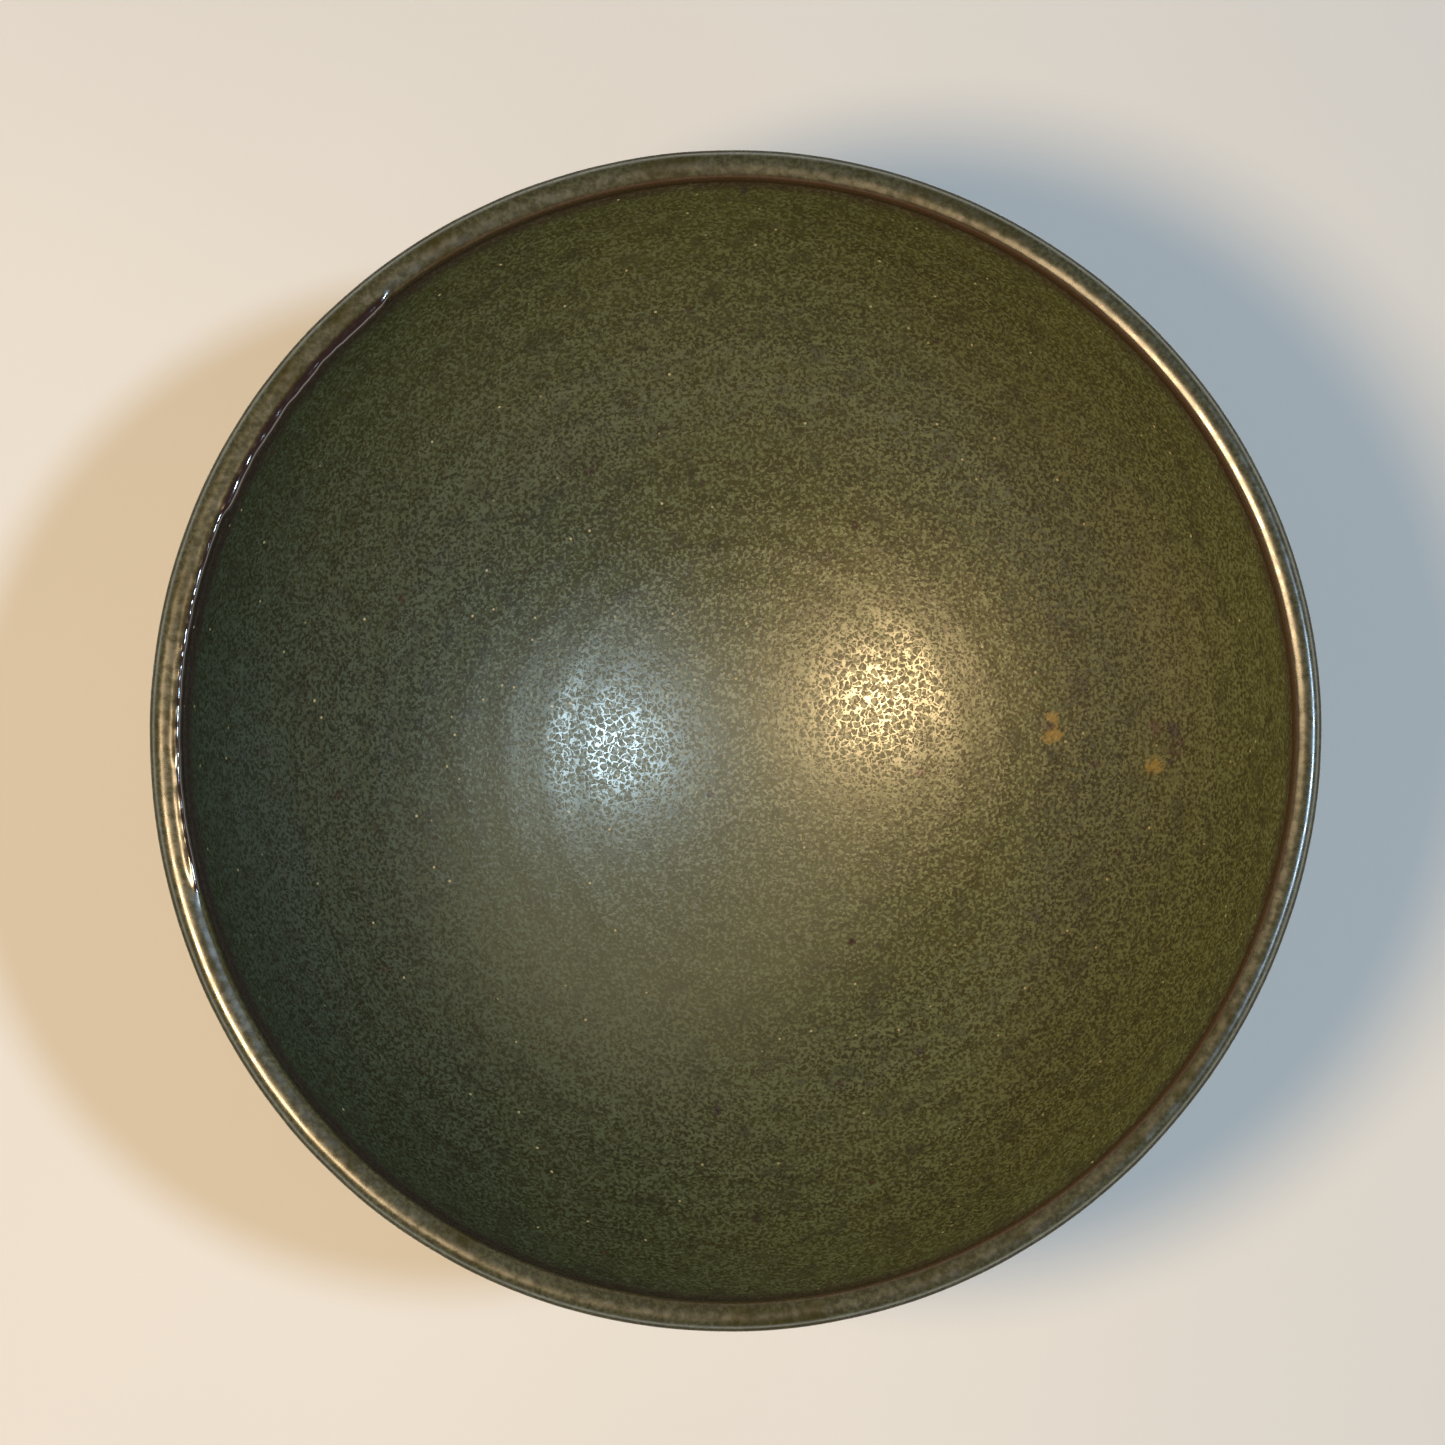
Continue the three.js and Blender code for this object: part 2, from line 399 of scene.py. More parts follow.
class Skin:
    """Rings of points, in order along a closed section, that become one closed mesh."""

    def __init__(self):
        self.rings = []
        self.notes = {}

    def add(self, points, **notes):
        """One ring, with a number for each of its points under each note's name."""
        self.rings.append(points)
        for name, values in notes.items():
            kept = self.notes.setdefault(name, {})
            kept[len(self.rings) - 1] = np.broadcast_to(values, len(points))

    def build(self, name, material, closed=False):
        """Makes the piece. A closed section's last ring also joins its first one."""
        starts = np.concatenate([[0], np.cumsum([len(ring) for ring in self.rings])]).astype(int)
        pairs = [(k, k + 1) for k in range(len(self.rings) - 1)]
        if closed:
            pairs.append((len(self.rings) - 1, 0))
        faces = []
        for k, m in pairs:
            faces += join_rings(len(self.rings[k]), len(self.rings[m]), int(starts[k]), int(starts[m]))
        mesh = bpy.data.meshes.new(name)
        mesh.from_pydata((np.concatenate(self.rings) * MM).tolist(), [], faces)
        for note, by_ring in self.notes.items():
            values = np.zeros(starts[-1], np.float32)
            for k, ring_values in by_ring.items():
                values[starts[k]:starts[k + 1]] = ring_values
            mesh.attributes.new(note, "FLOAT", "POINT").data.foreach_set("value", values)
        mesh.polygons.foreach_set("use_smooth", np.ones(len(mesh.polygons), bool))
        mesh.materials.append(material)
        mesh.validate()
        piece = bpy.data.objects.new(name, mesh)
        bpy.context.scene.collection.objects.link(piece)
        return piece


def place(along, depth, angle):
    """Points round the bowl, this far along its outline and this far into the clay."""
    r, z = BOWL.at(along, depth)
    return bend(np.broadcast_to(r, len(angle)), np.broadcast_to(z, len(angle)), angle)


def spread(first, last, step):
    """Lengths from first to last, about `step` apart."""
    return np.linspace(first, last, max(2, int(abs(last - first) / step) + 1))


# How far apart the rings of a piece lie
FACE_STEP = 0.45      # on the inside glaze and across the underside
BARE_STEP = 0.3       # on bare clay
STUB_STEP = 0.4
HIDDEN_STEP = 3.5     # on clay under glaze
BACK_STEP = 4.0       # on the back of the inside glaze

# Rings across a coat that has wavy edges, as stretches of (the share it ends at, rings)
RIM_RINGS = ((0.05, 8), (0.93, 56), (1, 10))
OUTER_RINGS = ((0.95, 110), (1, 10))
RIM_BACK_RINGS = 12
OUTER_BACK_RINGS = 14

# Rings of the foot: down its side, round an edge, across its face, up the recess, over its top
SIDE_RINGS, EDGE_RINGS, FACE_RINGS, RECESS_RINGS, TOP_RINGS = 16, 7, 7, 12, 4

INNER_LAP = 0.8       # how far the inside coat runs on under the lip's
OUTER_LAP = 2.2       # and the outside coat
FINE_CLAY = 4.0       # how far up under the outside glaze the clay's finer rings begin

TRIM_PITCH = 1.1      # between lines that the turning tool leaves in leather-hard clay
TRIM_DRIFT = 0.24
TRIM_HEIGHT = 0.035
TRIM_DENTS = 0.05

FILLET = 0.5          # where the body meets the foot
STUB_START = 0.2      # from the corner above the foot down to the stub's first ring
UNDERSIDE_START = 0.3     # from the stub in to the underside's first ring

SPIRAL_PITCH = 1.3    # of the line that the tool leaves in the recess
SPIRAL_HEIGHT = 0.06
SPIRAL_START = (1, 4)     # radii between which the line grows to its full height
CONE_HEIGHT = 0.8     # of the low cone in the middle of the recess
CONE_RADIUS = 5.5
RECESS_FADE = 1.5     # width along the recess's side over which the underside turns plain

FOOT_LINE_PITCH = 0.9
FOOT_LINES = 0.03
FOOT_DENTS = 0.05
FOOT_CALM = (0.3, 1.2)    # heights between which the lines and dents grow to full
TOP_CALM = 0.3        # height at the foot's top over which they end
WORN_HEIGHT = 0.8     # up to which the foot is rubbed paler


def ring_shares(stretches):
    """How far across a coat each of its rings lies, from 0 to 1."""
    shares = []
    start = 0
    for end, count in stretches:
        shares.append(np.linspace(start, end, count, endpoint=end == 1))
        start = end
    return np.concatenate(shares)


def inner_coat(material):
    """The glaze inside, from the middle of the floor to under the lip's coat, and back."""
    skin = Skin()
    end = RIM_START + INNER_LAP
    for along in spread(0, end, FACE_STEP):
        count = 1 if along == 0 else ring_points(BOWL.at(along, 0)[0])
        angle = turn_angles(count)
        flat = place(along, 0, angle)
        height = inner_relief(along, angle, flat)
        skin.add(place(along, -height, angle), seam=RIM_START - along,
                 ring=throwing_lines(along, angle, flat))
    for along in spread(end, 0, BACK_STEP):
        count = 1 if along == 0 else ring_points(BOWL.at(along, GLAZE)[0])
        skin.add(place(along, GLAZE, turn_angles(count)))
    return skin.build("inner_glaze_coat", material)


def rim_coat(material):
    """The lip's coat, from the seam inside over the lip to its wavy edge outside."""
    skin = Skin()
    angle = turn_angles(RIM_POINTS)
    last = rim_end(angle, place(RIM_END, 0, angle))
    reach = last - RIM_START
    for share in ring_shares(RIM_RINGS):
        along = RIM_START + share * reach
        flat = place(along, 0, angle)
        height = rim_relief(share, angle, flat, reach)
        skin.add(place(along, -height, angle), over=along - LIP_TOP, bead=bead_size(angle, flat))
    for share in np.linspace(1, 0, RIM_BACK_RINGS):
        skin.add(place(RIM_START + share * reach, GLAZE, angle))
    return skin.build("rim_glaze_coat", material, closed=True)


def outer_coat(material):
    """The glaze outside, from under the lip's coat to its wavy edge above the foot."""
    skin = Skin()
    angle = turn_angles(TURN_POINTS)
    last = glaze_end(angle, place(COAT_END, 0, angle))
    first = RIM_END - OUTER_LAP
    reach = last - first
    for share in ring_shares(OUTER_RINGS):
        along = first + share * reach
        flat = place(along, 0, angle)
        height = outer_relief(along, angle, flat, last)
        skin.add(place(along, -height, angle), seam=last - along,
                 ring=throwing_lines(along, angle, flat))
    for share in np.linspace(1, 0, OUTER_BACK_RINGS):
        skin.add(place(first + share * reach, GLAZE, angle))
    return skin.build("outer_glaze_coat", material, closed=True)


def trimming(along, angle, places):
    turns = along / TRIM_PITCH - angle / FULL_TURN + TRIM_DRIFT * waves(places, size=12, seed=11)
    return TRIM_HEIGHT * np.cos(FULL_TURN * turns) + TRIM_DENTS * waves(places, size=9, seed=12)


def clay_body(material):
    """The clay under the three coats, and the bare clay down to where the foot is luted on."""
    skin = Skin()
    bare = COAT_END - FINE_CLAY
    hidden_rings = spread(0, bare, HIDDEN_STEP)[:-1]
    for along in np.concatenate([hidden_rings, spread(bare, FOOT_START, BARE_STEP)]):
        count = 1 if along == 0 else ring_points(BOWL.at(along, CLAY_DEPTH)[0])
        angle = turn_angles(count)
        flat = place(along, CLAY_DEPTH, angle)
        relief = trimming(along, angle, flat) if along > bare else 0
        skin.add(place(along, CLAY_DEPTH - relief, angle))
    add_stub(skin)
    add_recess(skin)
    return skin.build("stoneware_body", material)


def add_stub(skin):
    """From the foot's corner down to the flat that the foot is luted to."""
    corner = BOWL.at(FOOT_START, CLAY_DEPTH)[1]
    for height in spread(corner - STUB_START, BASE_HEIGHT, STUB_STEP):
        radius = np.full(TURN_POINTS, FOOT_RADIUS + FILLET * np.exp(-(corner - height) / FILLET))
        skin.add(bend(radius, np.full(TURN_POINTS, height), turn_angles(TURN_POINTS)))


def add_recess(skin):
    """Across the underside, with a low cone and a spiral line inside the foot."""
    for radius in spread(FOOT_RADIUS - UNDERSIDE_START, 0, FACE_STEP):
        count = 1 if radius == 0 else ring_points(radius)
        angle = turn_angles(count)
        r = np.full(count, radius)
        flat = np.stack([r * np.cos(angle), r * np.sin(angle), np.full(count, BASE_HEIGHT)], axis=1)
        line = np.cos(FULL_TURN * (radius / SPIRAL_PITCH - angle / FULL_TURN))
        spiral = SPIRAL_HEIGHT * line * smooth(radius, *SPIRAL_START)
        cone = CONE_HEIGHT * (1 - smooth(radius, 0, CONE_RADIUS))
        plain = smooth(radius, RECESS_RADIUS - RECESS_FADE, RECESS_RADIUS)
        flat[:, 2] -= (cone + spiral) * (1 - plain)
        skin.add(flat)


def foot_outline(top, outer):
    """The foot's section: tapering outside, flat where it stands, and straight in the recess."""
    corner = np.linspace(0, QUARTER_TURN, EDGE_RINGS)
    r = np.concatenate([
        np.linspace(FOOT_RADIUS, outer, SIDE_RINGS, endpoint=False),
        outer - FOOT_EDGE + FOOT_EDGE * np.cos(corner),
        np.linspace(outer - FOOT_EDGE, RECESS_RADIUS + FOOT_EDGE, FACE_RINGS + 2)[1:-1],
        RECESS_RADIUS + FOOT_EDGE - FOOT_EDGE * np.sin(corner),
        np.full(RECESS_RINGS, RECESS_RADIUS),
        np.linspace(RECESS_RADIUS, FOOT_RADIUS, TOP_RINGS + 2)[1:-1],
    ])
    z = np.concatenate([
        np.linspace(top, FOOT_EDGE, SIDE_RINGS, endpoint=False),
        FOOT_EDGE - FOOT_EDGE * np.sin(corner),
        np.zeros(FACE_RINGS),
        FOOT_EDGE - FOOT_EDGE * np.cos(corner),
        np.linspace(FOOT_EDGE, top, RECESS_RINGS + 1)[1:],
        np.full(TOP_RINGS, top),
    ])
    return r, z


def foot_ring(material):
    """The foot, with fine turning lines, and rubbed paler where it stands."""
    skin = Skin()
    top = BASE_HEIGHT - GAP
    outer = FOOT_RADIUS - FOOT_TAPER
    angle = turn_angles(TURN_POINTS)
    for r, z in zip(*foot_outline(top, outer)):
        ring = np.stack([r * np.cos(angle), r * np.sin(angle), np.full(TURN_POINTS, z)], axis=1)
        side = smooth(z, *FOOT_CALM) * (1 - smooth(z, top - TOP_CALM, top))
        lines = FOOT_LINES * np.cos(FULL_TURN * z / FOOT_LINE_PITCH)
        push = side * (lines + FOOT_DENTS * waves(ring, size=7, seed=13))
        outward = 1 if r > (RECESS_RADIUS + outer) / 2 else -1
        ring[:, 0] += push * outward * np.cos(angle)
        ring[:, 1] += push * outward * np.sin(angle)
        skin.add(ring, worn=1 - smooth(z, 0, WORN_HEIGHT))
    return skin.build("turned_foot", material, closed=True)


# ---- Materials -------------------------------------------------------------------------------

class Paint:
    """A material's node tree. Sizes of patterns are in millimetres on the bowl."""

    def __init__(self, name, **fixed):
        self.material = bpy.data.materials.new(name)
        self.material.use_nodes = True
        self.tree = self.material.node_tree
        self.shader = self.tree.nodes["Principled BSDF"]
        self.spot = self.node("ShaderNodeTexCoord", {}).outputs["Object"]
        for socket, value in fixed.items():
            self.shader.inputs[socket.replace("_", " ")].default_value = value

    def feed(self, socket, value):
        """Links another node's output to a socket, or sets it to a plain value."""
        if isinstance(value, bpy.types.NodeSocket):
            self.tree.links.new(value, socket)
        else:
            socket.default_value = value

    def node(self, kind, inputs, **settings):
        """A new node with its inputs fed and its settings set."""
        made = self.tree.nodes.new(kind)
        for setting, value in settings.items():
            setattr(made, setting, value)
        for socket, value in inputs.items():
            self.feed(made.inputs[socket], value)
        return made

    def noise(self, size, detail=2.0, roughness=0.5):
        inputs = {"Vector": self.spot, "Scale": 1 / (size * MM), "Detail": detail,
                  "Roughness": roughness}
        return self.node("ShaderNodeTexNoise", inputs).outputs["Fac"]

    def warped(self, size, reach):
        """The place on the bowl, moved about by up to `reach` millimetres."""
        wander = self.node("ShaderNodeTexNoise", {"Vector": self.spot, "Scale": 1 / (size * MM)})
        centred = self.node("ShaderNodeVectorMath", {0: wander.outputs["Color"], 1: (0.5, 0.5, 0.5)},
                            operation="SUBTRACT")
        scaled = self.node("ShaderNodeVectorMath", {0: centred.outputs[0], "Scale": 2 * reach * MM},
                           operation="SCALE")
        return self.node("ShaderNodeVectorMath", {0: self.spot, 1: scaled.outputs[0]}).outputs[0]

    def cells(self, size, feature="F1", spot=None):
        inputs = {"Vector": spot or self.spot, "Scale": 1 / (size * MM)}
        return self.node("ShaderNodeTexVoronoi", inputs, feature=feature).outputs["Distance"]

    def calculate(self, operation, a, b=0.0, c=0.0):
        inputs = {0: a, 1: b, 2: c}
        return self.node("ShaderNodeMath", inputs, operation=operation).outputs[0]

    def ramp(self, value, low, high, start=0.0, end=1.0):
        """Rises smoothly from start to end as value goes from low to high."""
        inputs = {"Value": value, "From Min": low, "From Max": high, "To Min": start, "To Max": end}
        made = self.node("ShaderNodeMapRange", inputs, interpolation_type="SMOOTHSTEP")
        return made.outputs["Result"]

    def mix(self, share, a, b, blend="MIX"):
        """Colour a where the share is 0, and b where it is 1."""
        made = self.node("ShaderNodeMix", {}, data_type="RGBA", blend_type=blend)
        factor, first, second = made.inputs[0], made.inputs[6], made.inputs[7]
        for socket, value in ((factor, share), (first, a), (second, b)):
            self.feed(socket, value)
        return made.outputs[2]

    def note(self, name):
        """A number that the mesh keeps for each of its points."""
        return self.node("ShaderNodeAttribute", {}, attribute_name=name).outputs["Fac"]

    def away(self, x, y):
        """Millimetres from a point, as seen from above."""
        flat = self.node("ShaderNodeVectorMath", {0: self.spot, 1: (1, 1, 0)}, operation="MULTIPLY")
        distance = self.node("ShaderNodeVectorMath", {0: flat.outputs[0], 1: (x * MM, y * MM, 0)},
                             operation="DISTANCE").outputs["Value"]
        return self.calculate("DIVIDE", distance, MM)

    def towards(self, x, y):
        """Millimetres from the axis in a direction across the bowl."""
        across = self.node("ShaderNodeVectorMath", {0: self.spot, 1: (x, y, 0)},
                           operation="DOT_PRODUCT").outputs["Value"]
        return self.calculate("DIVIDE", across, MM)

    def near(self, x, y, radius):
        """Nearly 1 around a point of the view from above, falling to 0 at a ragged edge.

        The noise is 0.5 on average, which adds two radii to how far away each place is."""
        ragged = self.calculate("MULTIPLY_ADD", self.noise(0.8, 4.0, 0.6), 4 * radius, self.away(x, y))
        return self.ramp(ragged, 2.5 * radius, 3.3 * radius, 0.9, 0.0)

    def bump(self, height, distance):
        inputs = {"Height": height, "Distance": distance * MM, "Strength": 1.0}
        return self.node("ShaderNodeBump", inputs).outputs["Normal"]

    def finish(self, body, roughness, normal):
        self.feed(self.shader.inputs["Base Color"], body)
        self.feed(self.shader.inputs["Roughness"], roughness)
        self.feed(self.shader.inputs["Normal"], normal)
        return self.material


def colour(red, green, blue):
    """A colour given as it is seen, from 0 to 255, turned into light by the sRGB curve."""
    seen = (red / 255, green / 255, blue / 255)
    light = [((c + 0.055) / 1.055) ** 2.4 if c > 0.04 else c / 12.92 for c in seen]
    return (*light, 1)


OLIVE_DARK = colour(44, 40, 5)
OLIVE = colour(56, 51, 7)
OLIVE_FLECK = colour(90, 98, 74)
PAINTED_GLOW = colour(118, 117, 90)
OLIVE_DEEP = colour(42, 40, 16)
RUST = colour(64, 43, 29)
OCHRE = colour(136, 114, 50)
IRON_RED = colour(48, 24, 14)
PAINTED_GLINT = colour(170, 160, 120)
GREY_OLIVE = colour(72, 74, 52)
PURPLE_BLACK = colour(34, 22, 22)
BRONZE = colour(46, 45, 29)
DARK_BROWN = colour(42, 28, 15)
CLAY_BROWN = colour(130, 106, 84)
CLAY_DARK = colour(92, 70, 54)
CLAY_PALE = colour(168, 148, 124)


# Painted light and shade: tints of the glaze on the side turned from the warm lamp, and on the side it
# lights
SHADED_SIDE_TINT = (0.19, 0.30, 0.35, 1)
LIT_SIDE_TINT = (0.93, 0.90, 0.47, 1)

# A painted glow of the lamps' broad sheen, palest low on one side of the floor
GLOW_CENTRE = (-8.0, -10.0)
GLOW_EDGE = (15.0, 36.0)   # radii where the paleness starts to fade and where it ends

# Marks in the inside glaze: x and y seen from above, radius, and colour
MARKS = (
    (37.9, 2.1, 1.0, OCHRE), (37.8, 4.2, 0.7, OCHRE), (37.2, 3.2, 0.6, IRON_RED),
    (48.1, -2.0, 0.9, OCHRE), (48.4, 2.2, 0.8, RUST), (49.9, 2.4, 0.65, PURPLE_BLACK),
    (50.2, 1.4, 0.65, PURPLE_BLACK), (50.3, 0.3, 0.65, IRON_RED), (50.1, -0.8, 0.6, IRON_RED),
    (49.7, -1.7, 0.4, PURPLE_BLACK), (1.2, 58.2, 0.4, PURPLE_BLACK), (14.3, -22.2, 0.45, IRON_RED),
    (21.7, -34.8, 0.5, PURPLE_BLACK), (-1.6, -41.4, 0.5, PURPLE_BLACK), (2.7, -52.2, 0.45, PURPLE_BLACK),
    (14.8, 27.5, 0.5, IRON_RED), (22.7, -1.8, 0.6, RUST),
)


# The satin glaze breaks into glossy ridges with rougher pits between them
RIDGE_EDGE = (0.17, 0.25)   # in the fine network: where ridges end and where pits begin
PIT_SLOPE = (0.16, 0.46)
PIT_DEPTH = 0.012
RIDGE_ROUGHNESS = 0.285
PIT_ROUGHNESS = 0.485


def fine_network(paint):
    """Low on the fine broken ridges of the satin glaze, and high in the pits between them."""
    edges = paint.cells(0.85, "DISTANCE_TO_EDGE", paint.warped(size=0.7, reach=0.45))
    return paint.calculate("MULTIPLY_ADD", paint.noise(size=0.8), 0.3, edges)


def olive_colour(paint, flecks):
    """The olive glaze: brownish ground, fine grey-green flecks, deeper patches, paler crests."""
    clouds = paint.noise(size=17, detail=3.0)
    ground = paint.mix(paint.ramp(clouds, 0.35, 0.65), OLIVE_DARK, OLIVE)
    flecked = paint.mix(flecks, ground, OLIVE_FLECK)
    patches = paint.noise(size=2.6, detail=3.0, roughness=0.6)
    patchy = paint.mix(paint.ramp(patches, 0.50, 0.70, 0.0, 0.8), flecked, OLIVE_DEEP)
    crest = paint.ramp(paint.note("ring"), -1, 1, 0.0, 0.12)
    return paint.mix(crest, patchy, OLIVE_FLECK)


def painted_lit_side(paint):
    """0 on the side of the bowl turned from the warm lamp, and 1 on the side it lights; it places
    painted light and shade.
    """
    return paint.ramp(paint.towards(0.9, 0.3), -RIM_RADIUS, 0.4 * RIM_RADIUS)


def painted_light_tones(paint, body, lit_side):
    """Broad painted light and shade: a darker, bluer shaded side and a yellower lit side, a painted glow
    of the lamps' sheen, and painted shade on the far side.
    """
    # Painted light and shade: darker and bluer where the warm lamp doesn't reach, yellower where it
    # shines
    side_light_tint = paint.mix(lit_side, SHADED_SIDE_TINT, LIT_SIDE_TINT)
    body = paint.mix(1.0, body, side_light_tint, "MULTIPLY")
    # Painted glow of the lamps' broad sheen on the floor
    painted_glow = paint.ramp(paint.away(*GLOW_CENTRE), *GLOW_EDGE, 0.42, 0.0)
    body = paint.mix(painted_glow, body, PAINTED_GLOW)
    # Painted shade: the far side of the bowl made darker
    far_side_shade = paint.ramp(paint.towards(0, 1), 0, RIM_RADIUS, 0.0, 0.3)
    return paint.mix(far_side_shade, body, OLIVE_DARK)


def seam_distance(paint, lit_side):
    """Millimetres to the coat's edge, made ragged, and larger on the lit side, so that the band of
    painted shade along the edge is narrower there."""
    rough_edge = paint.noise(size=1.5, detail=3.0)
    to_seam = paint.calculate("MULTIPLY_ADD", rough_edge, 2.0, paint.note("seam"))
    return paint.calculate("MULTIPLY_ADD", lit_side, 1.4, to_seam)


def satin_shine(paint, bright, lit_side, to_seam):
    """How much the glaze mirrors: most on flecks and ridges, and least at the dark seam."""
    glossy = paint.ramp(bright, 0, 1, 0.58, 1.2)
    shine = paint.calculate("MULTIPLY", glossy, paint.ramp(lit_side, 0, 1, 0.44, 0.66))
    return paint.calculate("MULTIPLY", shine, paint.ramp(to_seam, 2.2, 4.2, 0.5, 1.0))


def marked(paint, body):
    """The marks in their places, small dark spots scattered at random, and pale specks scattered at
    random that are painted glints of the glaze's crystals.
    """
    for x, y, radius, mark in MARKS:
        body = paint.mix(paint.near(x, y, radius), body, mark)
    spots = paint.ramp(paint.cells(8.0), 0.04, 0.075, 0.75, 0.0)
    body = paint.mix(spots, body, IRON_RED)
    # Painted glints: pale specks where crystals catch the lamps
    specks = paint.ramp(paint.cells(2.6), 0.045, 0.08, 1.0, 0.0)
    glint_patches = paint.ramp(paint.noise(size=3.0, detail=1.0), 0.46, 0.52)
    return paint.mix(paint.calculate("MULTIPLY", specks, glint_patches), body, PAINTED_GLINT)


def satin_olive():
    paint = Paint("satin_olive_glaze", IOR=1.8, Specular_Tint=(0.98, 0.98, 0.88, 1))
    network = fine_network(paint)
    ridges = paint.ramp(network, *RIDGE_EDGE, 1.0, 0.0)
    fine = paint.ramp(paint.noise(size=0.43, roughness=0.55), 0.47, 0.57)
    flecks = paint.calculate("MAXIMUM", fine, paint.calculate("MULTIPLY", ridges, 0.35))
    lit_side = painted_lit_side(paint)
    to_seam = seam_distance(paint, lit_side)
    bright = paint.calculate("MAXIMUM", fine, ridges)
    paint.feed(paint.shader.inputs["Specular IOR Level"],
               satin_shine(paint, bright, lit_side, to_seam))
    body = painted_light_tones(paint, olive_colour(paint, flecks), lit_side)
    # A dark iron line at the lip's seam, with painted shade below the lip that is darker and wider on
    # the side turned from the warm lamp
    seam_shade_and_iron = paint.mix(lit_side, PURPLE_BLACK, DARK_BROWN)
    body = paint.mix(paint.ramp(to_seam, 2.4, 5.2, 0.95, 0.0), body, seam_shade_and_iron)
    roughness = paint.ramp(network, *RIDGE_EDGE, RIDGE_ROUGHNESS, PIT_ROUGHNESS)
    height = paint.ramp(network, *PIT_SLOPE, 1.0, 0.0)
    return paint.finish(marked(paint, body), roughness, paint.bump(height, PIT_DEPTH))


def lip_colour(paint, over, lit_side):
    """Speckled bronze over the crest, rusty and then dark inside it, and dark at the outer edge. The
    dark inside is dark iron glaze with painted shade, darker on the side turned from the warm lamp; the
    dark outer edge is painted shade where the lip faces away from the warm lamp.

    `over` is how many millimetres past the crest a place is, and negative inside it."""
    speckle = paint.ramp(paint.noise(size=0.5, detail=3.0, roughness=0.6), 0.42, 0.62, 0.0, 0.6)
    speckled = paint.mix(speckle, BRONZE, GREY_OLIVE)
    clouds = paint.ramp(paint.noise(size=7, detail=3.0), 0.5, 0.7, 0.0, 0.7)
    crest = paint.mix(clouds, speckled, OLIVE_DARK)
    rust = paint.calculate("MULTIPLY", paint.ramp(over, -1.9, -1.2, 0.95, 0.0), lit_side)
    rusty = paint.mix(rust, crest, RUST)
    # Dark iron glaze under the crest with painted shade, purple-black on the side turned from the warm
    # lamp
    under_lip_shade = paint.mix(lit_side, PURPLE_BLACK, DARK_BROWN)
    body = paint.mix(paint.ramp(over, -3.3, -1.9, 1.0, 0.0), rusty, under_lip_shade)
    # Painted shade on the lip's outer edge where it faces away from the warm lamp
    outer_edge = paint.calculate("MULTIPLY", paint.ramp(over, 0.9, 1.6), lit_side)
    return paint.mix(outer_edge, body, DARK_BROWN)


def lip_gloss():
    paint = Paint("lip_glaze")
    over = paint.note("over")
    inward = paint.ramp(over, -1.5, -1.1, 1.0, 0.0)
    pooled = paint.calculate("MULTIPLY", paint.ramp(paint.note("bead"), 0.1, 0.3), inward)
    body = paint.mix(pooled, lip_colour(paint, over, painted_lit_side(paint)), PURPLE_BLACK)
    outside = paint.ramp(over, 0.7, 1.1, 1.0, 0.06)
    shine = paint.calculate("MULTIPLY", paint.ramp(over, -1.65, -1.35, 0.15, 0.9), outside)
    glossy_bead = paint.calculate("MULTIPLY", pooled, paint.ramp(over, -2.6, -2.2))
    paint.feed(paint.shader.inputs["Specular IOR Level"],
               paint.calculate("MAXIMUM", shine, glossy_bead))
    roughness = paint.ramp(paint.noise(size=1.2, detail=3.0), 0.3, 0.7, 0.2, 0.32)
    roughness = paint.calculate("MULTIPLY_ADD", pooled, -0.15, roughness)
    skin = paint.bump(paint.noise(size=1.4), 0.006)
    return paint.finish(body, roughness, skin)


def bare_stoneware():
    paint = Paint("bare_stoneware", Specular_IOR_Level=0.2)
    clouds = paint.noise(size=9, detail=4.0)
    ground = paint.mix(paint.ramp(clouds, 0.35, 0.65), CLAY_BROWN, CLAY_DARK)
    grit = paint.ramp(paint.noise(size=0.5, detail=4.0, roughness=0.7), 0.52, 0.72)
    gritty = paint.mix(grit, ground, CLAY_PALE)
    specks = paint.ramp(paint.cells(2.4), 0.1, 0.16, 1.0, 0.0)
    body = paint.mix(specks, gritty, CLAY_DARK)
    body = paint.mix(paint.ramp(paint.note("worn"), 0, 1, 0.0, 0.5), body, CLAY_PALE)
    roughness = paint.ramp(paint.noise(size=1.0, detail=3.0), 0.3, 0.7, 0.75, 0.95)
    grain = paint.bump(paint.noise(size=0.35, detail=3.0, roughness=0.6), 0.05)
    return paint.finish(body, roughness, grain)


# ---- Light, floor and camera -----------------------------------------------------------------

PICTURE = 1445        # pixels along a side
FOCAL_PIXELS = 2600
SENSOR = 36.0
CAMERA_RISE = 267.6   # above the rim
CAMERA_TILT = math.radians(4.4)
AIM = (-1.12, 0.65)   # the point of the rim's plane that the camera looks at
NEAREST = 10.0        # distance from which the camera sees things

HORIZON_LIGHT = 2.85  # of the room low down
OVERHEAD_LIGHT = 0.06
OVERHEAD_FROM = 0.52  # upward part of a direction from which it counts as overhead
ROOM_TINT = (0.97, 0.98, 0.90, 1)
FLOOR_REACH = 3000.0  # from the middle to a side
FLOOR_TONES = ((0.62, 0.61, 0.60, 1), (0.65, 0.64, 0.63, 1))


def camera():
    data = bpy.data.cameras.new("camera")
    data.sensor_width = SENSOR
    data.lens = SENSOR * FOCAL_PIXELS / PICTURE
    data.clip_start = NEAREST * MM
    made = bpy.data.objects.new("camera", data)
    back = CAMERA_RISE * math.tan(CAMERA_TILT)
    made.location = Vector((AIM[0], AIM[1] - back, HEIGHT + CAMERA_RISE)) * MM
    made.rotation_euler = (CAMERA_TILT, 0, 0)
    bpy.context.scene.collection.objects.link(made)
    bpy.context.scene.camera = made


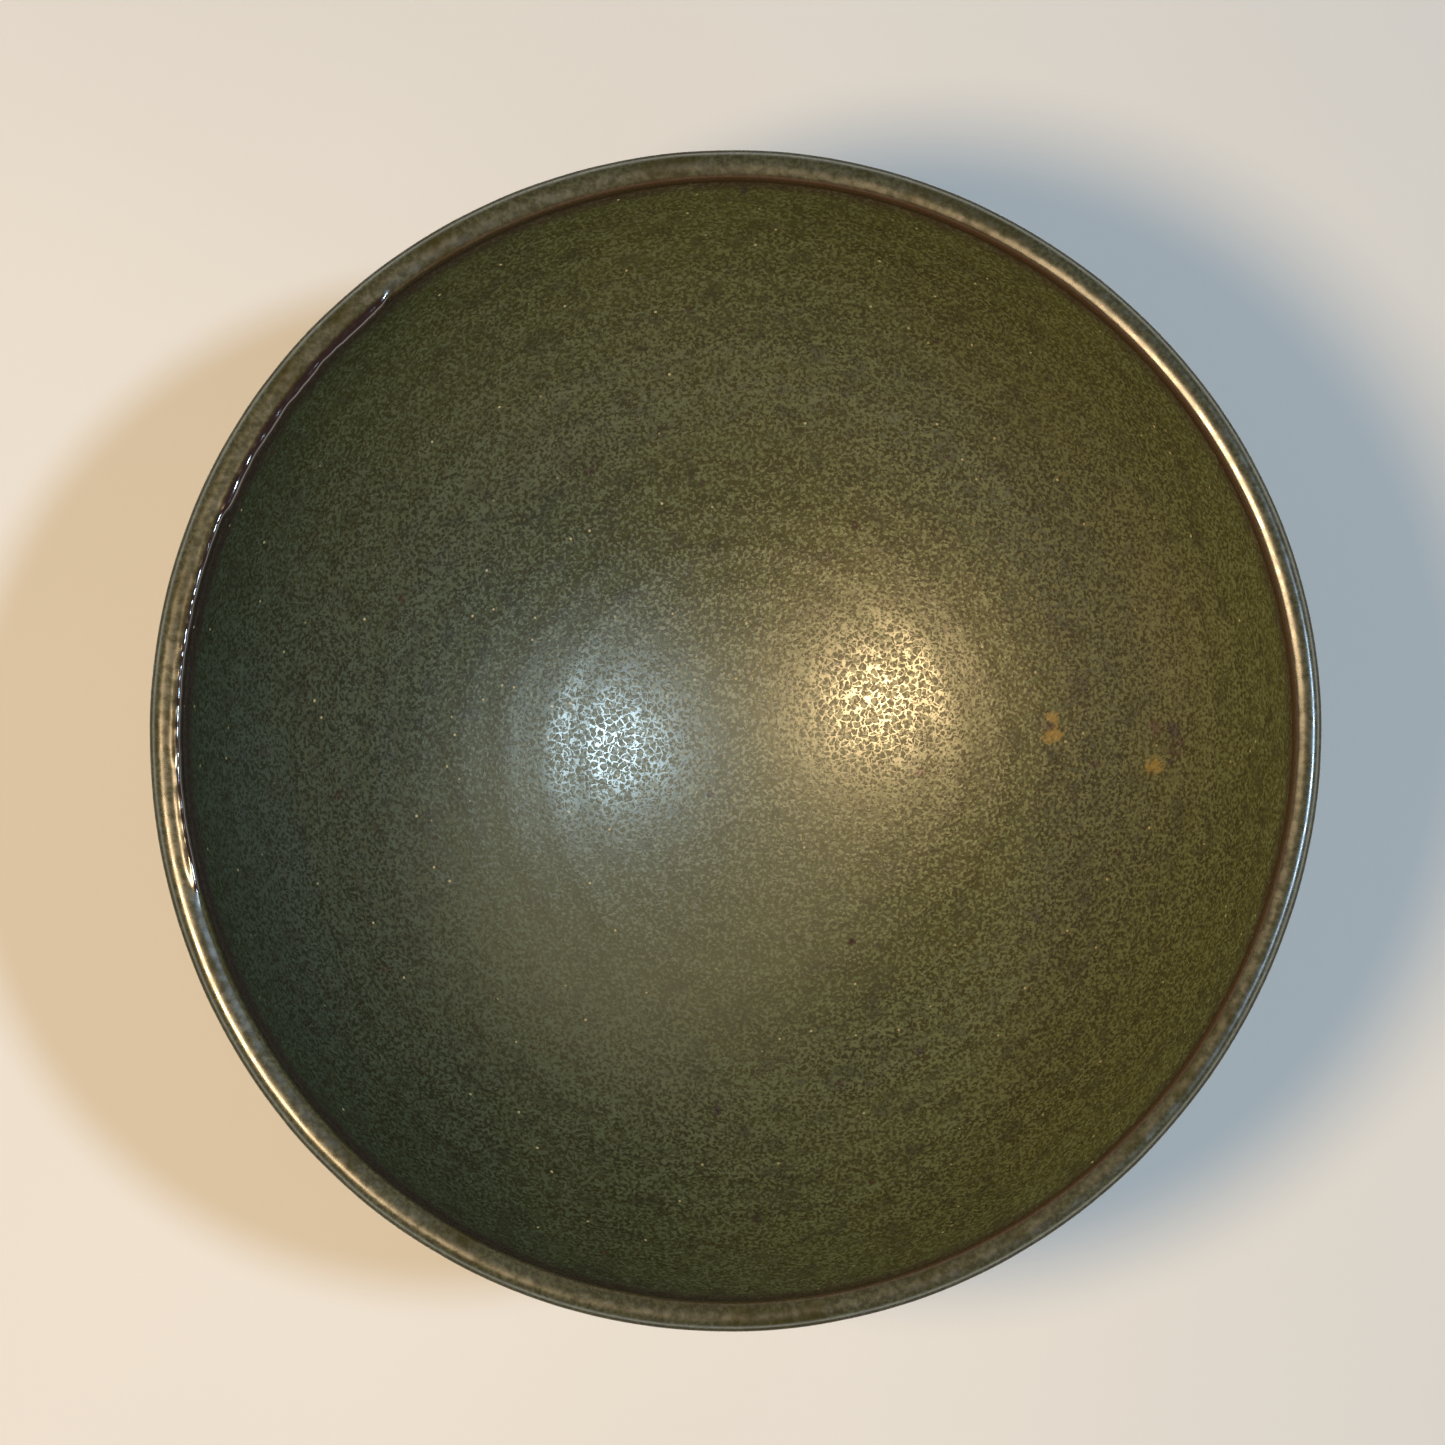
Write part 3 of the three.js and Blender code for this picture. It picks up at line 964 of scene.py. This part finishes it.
def lamp(name, position, wide, high, power, tint):
    """A soft lamp at a place in millimetres, facing the bowl, and itself out of sight."""
    data = bpy.data.lights.new(name, "AREA")
    data.shape = "ELLIPSE"
    data.size = wide * MM
    data.size_y = high * MM
    data.energy = power
    data.color = tint
    made = bpy.data.objects.new(name, data)
    made.location = Vector(position) * MM
    made.rotation_euler = (-made.location).to_track_quat("-Z", "Y").to_euler()
    made.visible_camera = False
    bpy.context.scene.collection.objects.link(made)


def studio():
    lamp("warm_lamp", (-134, -46, 368), wide=76, high=86, power=1.25, tint=(1.0, 0.71, 0.40))
    lamp("cool_lamp", (846, 38, 1500), wide=180, high=140, power=15.0, tint=(0.56, 0.77, 1.0))
    world = bpy.data.worlds.new("room")
    bpy.context.scene.world = world
    world.use_nodes = True
    tree = world.node_tree
    direction = tree.nodes.new("ShaderNodeTexCoord").outputs["Generated"]
    height = tree.nodes.new("ShaderNodeSeparateXYZ")
    tree.links.new(direction, height.inputs[0])
    dim = tree.nodes.new("ShaderNodeMapRange")
    tree.links.new(height.outputs["Z"], dim.inputs["Value"])
    dim.inputs["From Max"].default_value = OVERHEAD_FROM
    dim.inputs["To Min"].default_value = HORIZON_LIGHT
    dim.inputs["To Max"].default_value = OVERHEAD_LIGHT
    background = tree.nodes["Background"]
    background.inputs["Color"].default_value = ROOM_TINT
    tree.links.new(dim.outputs["Result"], background.inputs["Strength"])
    bpy.context.scene.view_settings.view_transform = "Standard"


def floor():
    mesh = bpy.data.meshes.new("floor")
    far = FLOOR_REACH * MM
    mesh.from_pydata([(-far, -far, 0), (far, -far, 0), (far, far, 0), (-far, far, 0)],
                     [], [(0, 1, 2, 3)])
    paint = Paint("pale_floor", Specular_IOR_Level=0.2, Roughness=0.9)
    tone = paint.ramp(paint.noise(size=140), 0.3, 0.7)
    paint.feed(paint.shader.inputs["Base Color"], paint.mix(tone, *FLOOR_TONES))
    mesh.materials.append(paint.material)
    made = bpy.data.objects.new("floor", mesh)
    bpy.context.scene.collection.objects.link(made)


# ---- The pieces in their places ----------------------------------------------------------------

olive, lip, clay = satin_olive(), lip_gloss(), bare_stoneware()
PIECES = (
    (inner_coat(olive), "inner_glaze", "satin_glaze"),
    (rim_coat(lip), "rim_glaze", "lip_glaze"),
    (outer_coat(olive), "outer_glaze", "satin_glaze"),
    (clay_body(clay), "clay_body", "bare_clay"),
    (foot_ring(clay), "foot_ring", "bare_clay"),
)
for piece, node, slot in PIECES:
    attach(piece, "root")
    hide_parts(node)

floor()
studio()
camera()
